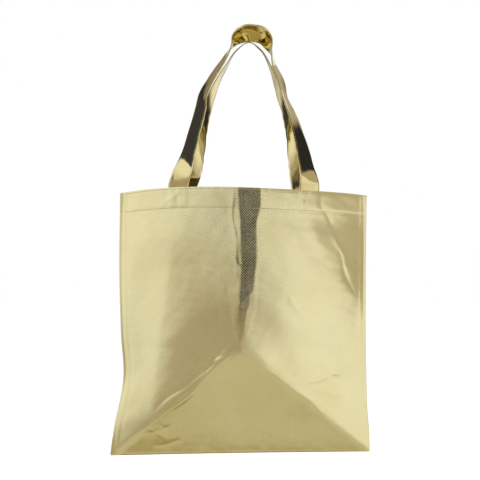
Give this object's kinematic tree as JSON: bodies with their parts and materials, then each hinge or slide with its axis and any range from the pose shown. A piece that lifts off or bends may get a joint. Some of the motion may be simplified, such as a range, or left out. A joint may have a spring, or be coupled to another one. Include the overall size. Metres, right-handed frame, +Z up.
{
  "type": "gift bag",
  "caption": "Metallic gift tote bag of two sewn sheets with a stitched hem and two folded-strip handles, hanging open by its handles.",
  "frame": {"origin": "middle of the bottom edge, in the seam plane between the front and the back sheet", "axes": "+Z up towards the handles, -Y towards the front, +X to the viewer's right"},
  "size_m": [0.38, 0.0888, 0.628],
  "materials": {
    "metallic_sheet": "champagne gold metallised film laminated on non-woven fabric, finely embossed",
    "metallic_strip": "champagne gold metallised film on folded non-woven strip, smooth and slightly crumpled",
    "sewing_thread": "gold-beige polyester sewing thread"
  },
  "bodies": {
    "bag": {"front_panel": "metallic_sheet", "back_panel": "metallic_sheet", "front_handle_end_left": "metallic_strip", "front_handle_end_right": "metallic_strip", "back_handle_end_left": "metallic_strip", "back_handle_end_right": "metallic_strip", "front_hem_stitching": "sewing_thread", "front_rim_stitching": "sewing_thread", "back_hem_stitching": "sewing_thread", "back_rim_stitching": "sewing_thread", "left_seam_stitching": "sewing_thread", "right_seam_stitching": "sewing_thread", "bottom_seam_stitching": "sewing_thread"},
    "front_handle": {"front_handle_loop": "metallic_strip", "front_handle_edge_stitching": "sewing_thread"},
    "back_handle": {"back_handle_loop": "metallic_strip", "back_handle_edge_stitching": "sewing_thread"}
  },
  "joints": [
    {"name": "front_handle_swing", "type": "hinge", "parent": "bag", "child": "front_handle", "pos_m": [0, -0.0201, 0.384], "axis": [1, 0, 0], "range_deg": [0, 160]},
    {"name": "back_handle_swing", "type": "hinge", "parent": "bag", "child": "back_handle", "pos_m": [0, 0.0201, 0.384], "axis": [-1, 0, 0], "range_deg": [0, 160]}
  ]
}
